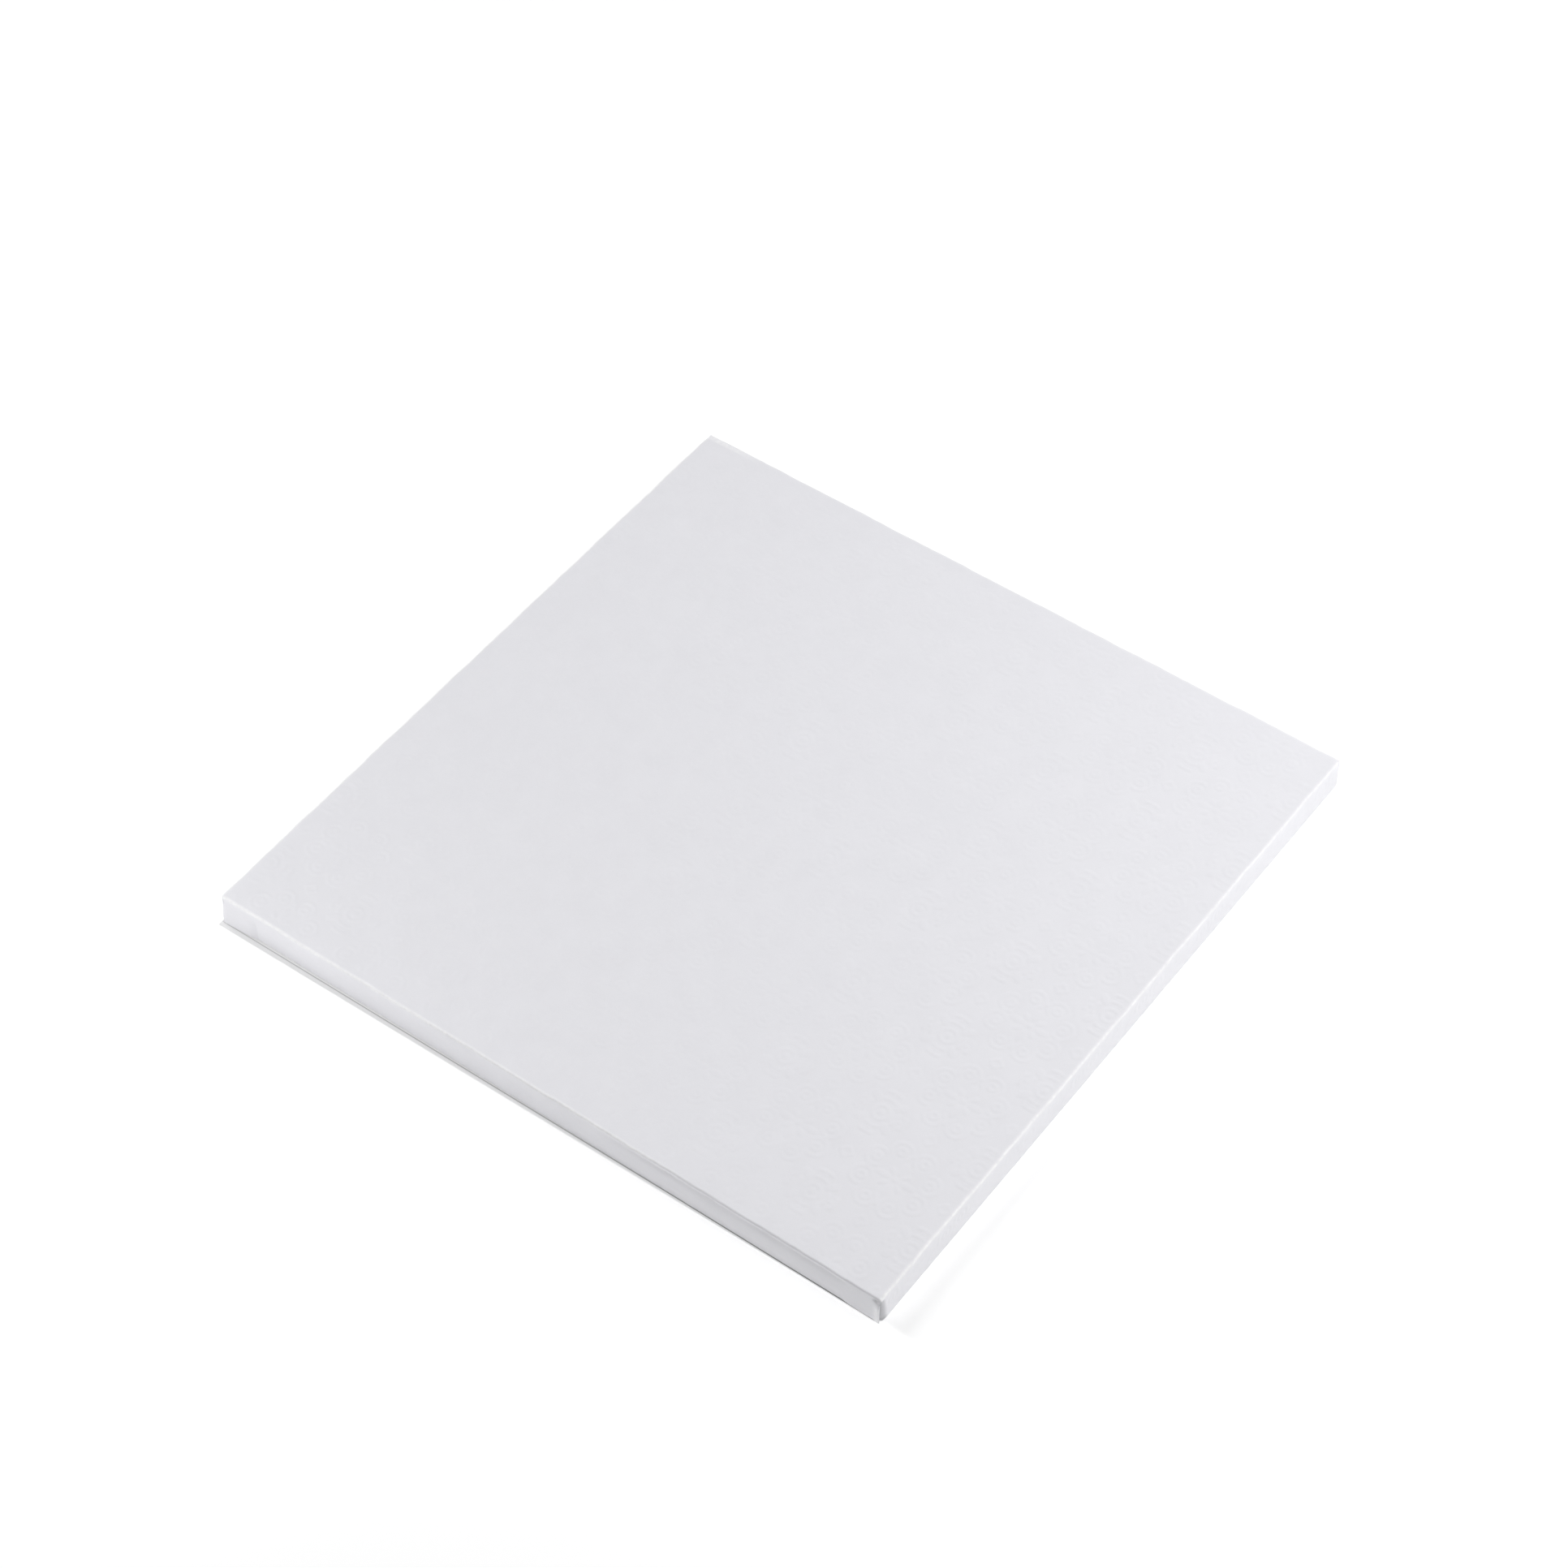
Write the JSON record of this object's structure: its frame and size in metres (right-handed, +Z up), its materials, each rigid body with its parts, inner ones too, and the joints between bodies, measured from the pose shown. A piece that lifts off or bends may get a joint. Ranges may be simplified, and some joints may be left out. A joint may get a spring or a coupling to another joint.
{
  "type": "square cake board",
  "caption": "Square cake board: a thick corrugated core wrapped in white embossed paper, with folded edges, tucked corners and a lined underside.",
  "frame": {"origin": "centre of the underside, on the surface that the board stands on", "axes": "+Z up, out of the top; X and Y along the sides; the tabs are tucked under the flaps on the two Y sides"},
  "size_m": [0.254, 0.254, 0.0127],
  "materials": {
    "embossed_paper": "cool white, satin, embossed with a fine rosette lattice",
    "lining_paper": "plain matte white",
    "kraft_liner": "matte brown kraft",
    "kraft_medium": "matte brown fluting"
  },
  "bodies": {
    "root": {"cover_sheet": "embossed_paper", "lining_sheet": "lining_paper", "upper_board_top_liner": "kraft_liner", "upper_board_top_flutes": "kraft_medium", "upper_board_mid_liner": "kraft_liner", "upper_board_low_flutes": "kraft_medium", "upper_board_low_liner": "kraft_liner", "lower_board_top_liner": "kraft_liner", "lower_board_top_flutes": "kraft_medium", "lower_board_mid_liner": "kraft_liner", "lower_board_low_flutes": "kraft_medium", "lower_board_low_liner": "kraft_liner"}
  },
  "joints": []
}
